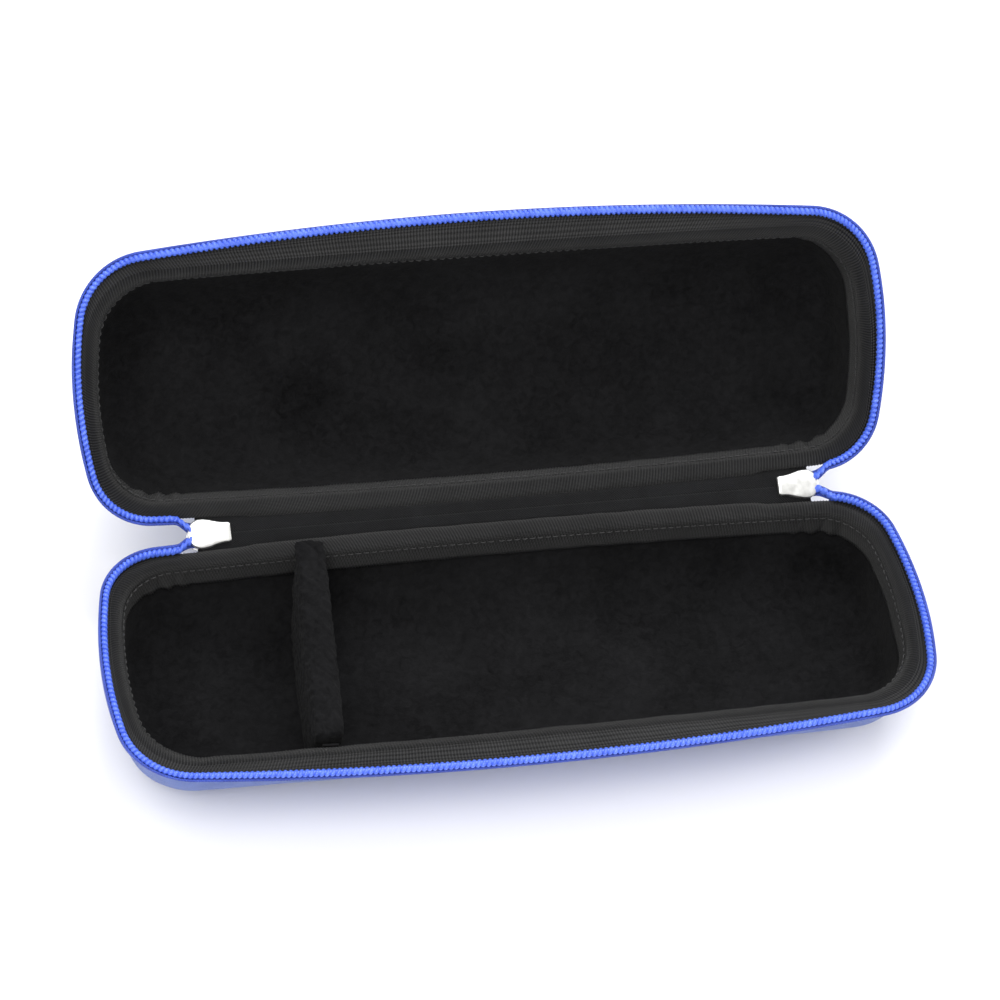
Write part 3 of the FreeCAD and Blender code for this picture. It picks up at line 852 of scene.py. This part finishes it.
def half_pieces(half):
    """Every soft piece of one half."""
    cover = laminate(half + "_cover", 0.0, FABRIC, PLAIN_DENSITY, (0.22, 0.0), half)
    finish_piece(cover, SHELL_CLOTH, half, [half + "_outer_fabric"])
    lining = laminate(half + "_plush", FABRIC + FOAM, WALL, PLAIN_DENSITY, (0.0, 0.5), half)
    finish_piece(lining, PLUSH, half, [half + "_lining"])
    tape = binding(half)
    finish_piece(tape, RIBBED, half, [half + "_binding"])
    start = rail_place(tail_span("right")[0])
    stop = rail_place(tail_span("left")[0])
    woven = tape_piece(half + "_woven_tape", start, stop, half)
    finish_piece(woven, ZIP_CLOTH, half, [half + "_zip_tape"])
    coil = coil_piece(half + "_coil", start, stop, half)
    finish_piece(coil, COIL, half, [half + "_zip_coil"])
    for side in SLIDERS:
        tail_pieces(half, side, start, stop)
    sewn_rows(half, start, stop)
    dress(half + "_shell", FOAM_LOOK)


def blend_to_strip(piece, half, start, stop):
    """Bake a piece's transform into its mesh; the two places given in the base are mirrored for the lid but
    not used to bend it.
    """
    places = np.array([start, stop])
    if half == "lid":
        places = reflect(places)
    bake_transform(piece)


def tail_pieces(half, side, start, stop):
    """Teeth and tape between a half and a slider, turned towards the hinge strip near the slider."""
    mouth = rail_place(tail_span(side)[1])
    ends = (mouth, start) if side == "right" else (stop, mouth)
    places = [(x, HINGE_Y, CREST) for x in tail_span(side)]
    makers = (
        (tape_piece, "tail_tape", ZIP_CLOTH, "blue_zip_tape", []),
        (coil_piece, "tail_coil", COIL, "blue_zip_coil", ["zip_tail"]),
    )
    for maker, label, material, slot, nodes in makers:
        piece = maker(half + "_" + label + "_" + side, ends[0], ends[1], half, side)
        stands_for = [half + "_" + node + "_" + side for node in nodes]
        finish_piece(piece, material, None, stands_for)
        blend_to_strip(piece, half, *places)


def sewn_rows(half, start, stop):
    """Stitches that hold the zip tape outside and the binding inside."""
    distance = np.arange(start, stop, 0.8)
    out = RAIL.at(distance, RAIL.out)
    rim = RAIL.at(distance, RAIL.rim)
    slope = math.tan(DRAFT)
    for label, depth in (("low", 4.9), ("high", 1.4)):
        path = rim + out * (0.82 - slope * depth) + (RIM - depth) * UP
        row = stitch_row(half + "_sewn_" + label, path, out, 2.4, 1.7, 0.2, half)
        finish_piece(row, BLUE_THREAD, half)
    ring = trough_ring(CREST - 2.6, WALL + TAPE, 1.0)
    inward = ring.mean(axis=0) - ring
    inward[:, 2] = 0.0
    inward = unit(inward)
    row = stitch_row(half + "_binding_stitches", ring + inward * 0.12, inward, 2.5, 1.6, 0.19, half)
    finish_piece(row, GREY_THREAD, half)


for half_name in HALVES:
    half_pieces(half_name)


# ---- hinge cloth
def rear_wall(x, height):
    """Y of the rear wall's outer face at one height, at places along the case."""
    line = shrink(SHELL_LINE, wall_inset(height, END_RADIUS, 0.0), wall_inset(height, SIDE_RADIUS, 0.0))
    reach = bow_radius(line["half_length"], line["rear_bow"])
    return line["rear"] - reach + np.sqrt(reach ** 2 - x ** 2)


FLAP_HEIGHT = 13.0           # of the hinge cloth, down the rear wall from the crest
FLAP_BEND = 3.0              # below the crest, where it leaves the wall
NOSE_BARE = 3.0              # of each slider, past the end of the cloth


def hinge_cloth(half):
    """Cloth from the rear wall, over the fold, to the middle of the hinge strip."""
    left = SLIDERS["left"][0] - SLIDER_LENGTH / 2.0 + NOSE_BARE
    right = SLIDERS["right"][0] + SLIDER_LENGTH / 2.0 - NOSE_BARE
    x = np.linspace(left, right, 240)

    def row(y, z):
        return np.column_stack([x, y + 0.0 * x, z + 0.0 * x])

    def row_on_strip(along, off):
        return row(*(FOLD_BASE + STRIP_DIRECTION * along + STRIP_OUT * off)[1:])

    flap = np.linspace(CREST - FLAP_HEIGHT, CREST - FLAP_BEND, 9)
    rows = [row(rear_wall(x, height) + 1.1, height) for height in flap]
    rows.append(row(FOLD_BASE[1] + 1.0, FOLD_BASE[2] - 1.0))
    rows += [row_on_strip(along, 0.8) for along in np.linspace(1.0, STRIP_WIDTH / 2.0, 5)]
    rows += [row_on_strip(along, -0.3) for along in np.linspace(STRIP_WIDTH / 2.0, 0.2, 6)]
    rows.append(row(rear_wall(x, RIM) + 0.3, CREST - 1.2))
    rows += [row(rear_wall(x, height) + 0.1, height) for height in flap[::-2]]
    grid = np.array(rows)
    flat = grid.reshape(-1, 3)
    ripple = wobble(flat, 8.0, 0.16, 11.0)
    ripple[np.abs(flat[:, 2] - STRIP_MIDDLE[2]) < 1.2] *= 0.2
    flat = flat + ripple[:, None] * STRIP_OUT
    faces = section_faces(*grid.shape[:2])
    piece = make_piece(half + "_hinge_cloth", flat, faces, grid_uvs(grid), half)
    nodes = [half + "_hinge_flap"]
    if half == "base":
        nodes += ["hinge_strip_inner", "hinge_strip_outer"]
    finish_piece(piece, HINGE_CLOTH, None, nodes)
    blend_to_strip(piece, half, FOLD_BASE - 1.5 * UP, FOLD_BASE + 1.5 * STRIP_DIRECTION)


for half_name in HALVES:
    hinge_cloth(half_name)


# ---- sliders
SLIDER_OFF = -0.4            # inner face of the channel, off the strip
HEAD_AT = 2.4                # along the slider, where its rounded head begins
PLATE_POINTS = 36
TOOTH_WIRE = 0.4             # of the few closed teeth


def slider_point(side, along, off, across):
    """Row-frame points of a slider's own: along to its nose, off from the strip, across it."""
    x, outward = SLIDERS[side]
    points = STRIP_MIDDLE + np.multiply.outer(off, STRIP_OUT) + np.multiply.outer(across, STRIP_DIRECTION)
    points[..., 0] += x + outward * along
    return points


def shield_outline(count):
    """Half widths of a slider plate along its length, tail first, and its closed outline."""
    half = SLIDER_LENGTH / 2.0
    along = -half + SLIDER_LENGTH * np.sin(np.linspace(0.0, math.pi / 2.0, count)) ** 0.9
    tail = SLIDER_TAIL_WIDTH + (SLIDER_WIDTH - SLIDER_TAIL_WIDTH) * smooth((along + 5.2) / (HEAD_AT + 5.2))
    turn = np.clip((along - HEAD_AT) / (half - HEAD_AT), 0.0, 1.0)
    wide = tail / 2.0 * np.sqrt(1.0 - turn ** 2.3)
    wide[0] -= 0.35
    wide[-1] = 0.0
    upper = np.column_stack([along, wide])
    lower = np.column_stack([along[-2::-1], -wide[-2::-1]])
    return np.vstack([upper, lower])


def plate_points(side, inner_off, outward_sign, crown):
    """Crowned plate with rounded edges."""
    edge = shield_outline(PLATE_POINTS)
    spine = np.column_stack([edge[:, 0] * 0.86, np.zeros(len(edge))])
    rings = []
    levels = [
        (0.00, 0.00), (0.00, 0.45), (0.03, 0.75), (0.09, 0.93),
        (0.25, 1.06), (0.50, 1.16), (0.75, 1.22), (1.00, 1.24),
    ]
    for share, height in levels:
        flat = edge * (1.0 - share) + spine * share
        lifted = SLIDER_PLATE * height if height <= 0.95 else SLIDER_PLATE * (0.95 + (height - 0.95) * crown)
        off = inner_off + outward_sign * lifted
        rings.append(slider_point(side, flat[:, 0], np.full(len(flat), off), flat[:, 1]))
    grid = np.array(rings)
    rows, columns = grid.shape[:2]
    faces = grid_faces(rows, columns, False, True)
    faces.append(tuple(range(columns))[::-1])
    return grid.reshape(-1, 3), faces


def post_points(side, corners, low, high):
    """Prism between two distances off the strip."""
    corners = np.array(corners)
    bottom = slider_point(side, corners[:, 0], np.full(len(corners), low), corners[:, 1])
    top = slider_point(side, corners[:, 0], np.full(len(corners), high), corners[:, 1])
    return np.vstack([bottom, top]), capped_faces(2, len(corners))


def flange_points(side, sign, off, depth):
    """Rail along one edge of a plate that keeps the teeth in."""
    edge = shield_outline(PLATE_POINTS)[:PLATE_POINTS]
    edge = edge[(edge[:, 0] > -5.4) & (edge[:, 0] < 3.4)]
    path = slider_point(side, edge[:, 0], np.full(len(edge), off + depth / 2.0), sign * (edge[:, 1] - 0.42))
    reference = np.broadcast_to(STRIP_OUT, path.shape)
    return tube(path, np.full(len(path), abs(depth) / 2.0), reference, 8)


def soften(piece, width):
    """Rounded edges, width in metres."""
    bevel = piece.modifiers.new("soft_edges", "BEVEL")
    bevel.width = width
    bevel.segments = 2
    bevel.limit_method = "ANGLE"


def slider(side):
    """Slider body: two crowned plates, a wedge between them and flanges along their edges."""
    inner = SLIDER_OFF
    outer = SLIDER_GAP + SLIDER_OFF
    wedge = [(5.4, 0.9), (4.6, 1.1), (1.0, 0.25), (1.0, -0.25), (4.6, -1.1), (5.4, -0.9)]
    parts = [
        plate_points(side, inner, -1.0, 0.9),
        plate_points(side, outer, 1.0, 0.25),
        post_points(side, wedge, inner - 0.2, outer + 0.2),
    ]
    for sign in (-1.0, 1.0):
        parts.append(flange_points(side, sign, inner - 0.1, 0.9))
        parts.append(flange_points(side, sign, outer + 0.1, -0.9))
    points, faces = join(parts)
    piece = make_piece("slider_body_" + side, points, faces)
    soften(piece, 0.00012)
    finish_piece(piece, NICKEL, "hinge_strip", ["slider_" + side])


def closed_teeth(side):
    """Last teeth of the closed zip behind a slider, two meshed rows, and the clip across them."""
    tail = -SLIDER_LENGTH / 2.0
    parts = []
    for sign in (-1.0, 1.0):
        phase = np.linspace(0.0, 3.6, 44)
        angle = 2.0 * math.pi * phase
        along = tail - 0.3 - phase * TOOTH_PITCH - (0.5 * TOOTH_PITCH if sign > 0 else 0.0)
        across = sign * (1.25 - 1.25 * np.cos(angle)) + sign * 0.1
        off = TAPE + TOOTH_CLEAR + COIL_THICK / 2.0 + (COIL_THICK / 2.0 - 0.42) * np.sin(angle)
        path = slider_point(side, along, off, across)
        reference = np.broadcast_to(np.array([1.0, 0.0, 0.0]), path.shape)
        parts.append(tube(path, np.full(len(path), TOOTH_WIRE), reference, 8))
    points, faces = join(parts)
    teeth = make_piece("closed_teeth_" + side, points, faces)
    finish_piece(teeth, COIL, "hinge_strip", ["chain_end_" + side])
    clip = []
    reach = 3.1
    along = tail - np.array([6.1, 7.0, 7.9, 7.9, 7.0, 6.1])
    for across in np.linspace(-reach, reach, 9):
        bulge = 0.35 * math.cos(across / reach * math.pi / 2.0)
        off = np.array([3.0, 3.25 + bulge, 3.0, 0.95, 0.95, 0.95])
        clip.append(slider_point(side, along, off, np.full(len(along), across)))
    stop = make_piece("end_clip_" + side, np.vstack(clip), capped_faces(len(clip), len(along), -1))
    soften(stop, 0.0002)
    finish_piece(stop, NICKEL, "hinge_strip", ["end_stop_" + side])


for slider_side in SLIDERS:
    slider(slider_side)
    closed_teeth(slider_side)
    dress("slider_bail_" + slider_side, NICKEL)
    dress("pull_tab_" + slider_side, NICKEL)


# ---- divider
DIVIDER_X = -62.3
DIVIDER_SKEW = math.radians(3.3)
DIVIDER_THICK = 9.0
DIVIDER_REAR_TOP = 39.6
DIVIDER_FRONT_TOP = 34.2
DIVIDER_LIP_FOOT = 34.2
DIVIDER_LIP_REACH = 42.3
DIVIDER_TRAVEL = 92.0        # furthest from the case's middle that it slides
DIVIDER_GAP = 0.4            # to the walls it is pressed between
HOOK_THICK = 0.7
DIVIDER_SHEAR = 1.2          # how far its foot leans towards the small compartment


def divider_edge(count):
    """Outline of the divider across the trough, y and z, less its gap to the walls."""
    skin = WALL + TAPE + DIVIDER_GAP + HOOK_THICK
    room = DIVIDER_THICK / 2.0 * math.sin(DIVIDER_SKEW)

    def reach(side):
        bow = DIVIDER_TRAVEL ** 2 / (2.0 * bow_radius(SHELL_LINE["half_length"], SHELL_LINE[side + "_bow"]))
        return SHELL_LINE[side] - bow - room

    heights = [RIM]
    for angle in np.linspace(DRAFT, math.pi / 2.0, count):
        heights.append(SIDE_RADIUS - (SIDE_RADIUS - skin) * math.sin(angle))
    insets = [wall_inset(height, SIDE_RADIUS, skin) for height in heights]
    down = [(reach("rear") - inset, height) for inset, height in zip(insets, heights)]
    back = [(inset - reach("front"), height) for inset, height in zip(insets[::-1], heights[::-1])]
    lip = [
        (DIVIDER_LIP_REACH - 1.2, DIVIDER_REAR_TOP),
        (DIVIDER_LIP_REACH, DIVIDER_REAR_TOP - 1.4),
        (DIVIDER_LIP_REACH, DIVIDER_LIP_FOOT + 1.2),
        (DIVIDER_LIP_REACH - 1.2, DIVIDER_LIP_FOOT),
        (down[0][0], DIVIDER_LIP_FOOT),
    ]
    return np.array(lip + down + back + [(back[-1][0], DIVIDER_FRONT_TOP)])


def divider():
    """Foam wall in a plush cover, puffed by simulation and roughened by its pile."""
    edge = divider_edge(12)
    middle = edge.mean(axis=0)
    flat = middle + (edge - middle) * 0.96
    lean = DIVIDER_SHEAR * (flat[:, 1] / DIVIDER_REAR_TOP - 1.0)
    rows = []
    for x in np.linspace(-DIVIDER_THICK / 2.0 + 0.2, DIVIDER_THICK / 2.0 - 0.2, 5):
        rows.append(np.column_stack([x + lean, flat]))
    faces = capped_faces(len(rows), len(edge), -1)
    hinge = np.array([0.0, (SHELL_LINE["rear"] - SHELL_LINE["front"]) / 2.0, 0.0])
    turn = np.array([
        [math.cos(DIVIDER_SKEW), math.sin(DIVIDER_SKEW), 0.0],
        [-math.sin(DIVIDER_SKEW), math.cos(DIVIDER_SKEW), 0.0],
        [0.0, 0.0, 1.0],
    ])
    points = (np.vstack(rows) - hinge) @ turn.T + hinge + np.array([DIVIDER_X, 0.0, 0.0])
    piece = make_piece("divider_pad", points, faces)
    remesh = piece.modifiers.new("remesh", "REMESH")
    remesh.mode = "VOXEL"
    remesh.voxel_size = 0.0014
    apply_modifiers(piece)
    puff(piece, pressure=3.0, frames=14, cap=0.0008)
    fluff_out(piece)
    finish_piece(piece, PLUSH, "divider", ["divider_cover", "divider_core"])
    for node in ("divider_hook_front", "divider_hook_rear"):
        dress(node, PLUSH)


def read_points(mesh, field="co"):
    """Vertex positions, or normals, one per row."""
    values = np.empty(len(mesh.vertices) * 3)
    mesh.vertices.foreach_get(field, values)
    return values.reshape(-1, 3)


def apply_modifiers(piece):
    """Make a piece's modified mesh its own."""
    graph = bpy.context.evaluated_depsgraph_get()
    mesh = bpy.data.meshes.new_from_object(piece.evaluated_get(graph))
    piece.modifiers.clear()
    piece.data = mesh
    mesh.polygons.foreach_set("use_smooth", [True] * len(mesh.polygons))


def puff(piece, pressure, frames, cap):
    """Blow a padded piece up a little as cloth, moving no point further than cap metres."""
    before = read_points(piece.data)
    cloth = piece.modifiers.new("puff", "CLOTH")
    settings = cloth.settings
    settings.use_pressure = True
    settings.uniform_pressure_force = pressure
    settings.effector_weights.gravity = 0.0
    settings.quality = 6
    scene = bpy.context.scene
    for step in range(1, frames + 1):
        scene.frame_set(step)
    apply_modifiers(piece)
    move = read_points(piece.data) - before
    length = np.linalg.norm(move, axis=1, keepdims=True)
    move *= np.minimum(1.0, cap / np.maximum(length, 1e-12))
    piece.data.vertices.foreach_set("co", (before + move).ravel())
    scene.frame_set(1)


def fluff_out(piece):
    """Subdivide and raise small leaning tufts of pile."""
    split = piece.modifiers.new("split", "SUBSURF")
    split.levels = 2
    split.render_levels = 2
    apply_modifiers(piece)
    mesh = piece.data
    points = read_points(mesh)
    leaning = points * 1000.0 @ np.array([[0.55, 0.25, 0.0], [0.45, 0.18, 0.0], [0.0, 0.2, 0.7]])
    tufts = wobble(leaning, 0.9, 0.40, 5.0) + wobble(points * 1000.0, 3.2, 0.45, 7.0)
    points += read_points(mesh, "normal") * tufts[:, None] / 1000.0
    mesh.vertices.foreach_set("co", points.ravel())


divider()


# ---- floor, light, camera
def floor():
    """Pale floor, far larger than the case."""
    size = 3000.0
    points = [(-size, -size, -0.3), (size, -size, -0.3), (size, size, -0.3), (-size, size, -0.3)]
    piece = make_piece("floor", points, [(0, 1, 2, 3)], None, "base", False)
    piece.data.materials.append(FLOOR_LOOK)


def light(name, place, target, size, watts, colour):
    """Square soft light aimed at a point, in metres."""
    data = bpy.data.lights.new(name, "AREA")
    data.size = size
    data.energy = watts
    data.color = colour
    lamp = bpy.data.objects.new(name, data)
    lamp.location = place
    way = Vector(target) - Vector(place)
    lamp.rotation_euler = way.to_track_quat("-Z", "Y").to_euler()
    bpy.context.scene.collection.objects.link(lamp)


def camera():
    """Long lens, high on the left, turned a little about its own axis."""
    target = Vector((-0.01505, 0.0, 0.10676))
    azimuth, elevation, roll, distance = -0.331, 0.918, 0.184, 1.102
    level = Matrix.Rotation(azimuth, 3, "Z") @ Matrix.Rotation(math.pi / 2.0 - elevation, 3, "X")
    turned = level @ Matrix.Rotation(roll, 3, "Z")
    data = bpy.data.cameras.new("camera")
    data.sensor_width = 36.0
    data.lens = 135.6
    data.clip_start = 0.05
    made = bpy.data.objects.new("camera", data)
    made.matrix_world = Matrix.Translation(target + level.col[2] * distance) @ turned.to_4x4()
    bpy.context.scene.collection.objects.link(made)
    bpy.context.scene.camera = made


def world():
    """Even pale surroundings."""
    made = bpy.data.worlds.new("studio")
    made.use_nodes = True
    background = made.node_tree.nodes["Background"]
    background.inputs["Color"].default_value = (1.0, 1.0, 1.0, 1.0)
    background.inputs["Strength"].default_value = 0.75
    bpy.context.scene.world = made
    bpy.context.scene.view_settings.view_transform = "Standard"


floor()
CASE_MIDDLE = (0.0, 0.03, 0.04)
light("key", (-0.5, -0.5, 1.3), CASE_MIDDLE, 0.9, 14.0, (1.0, 0.99, 0.97))
light("top", (0.3, 0.7, 1.4), CASE_MIDDLE, 1.0, 14.0, (0.97, 0.98, 1.0))
light("side", (1.2, -0.2, 0.6), CASE_MIDDLE, 0.7, 4.0, (1.0, 0.98, 0.95))
camera()
world()
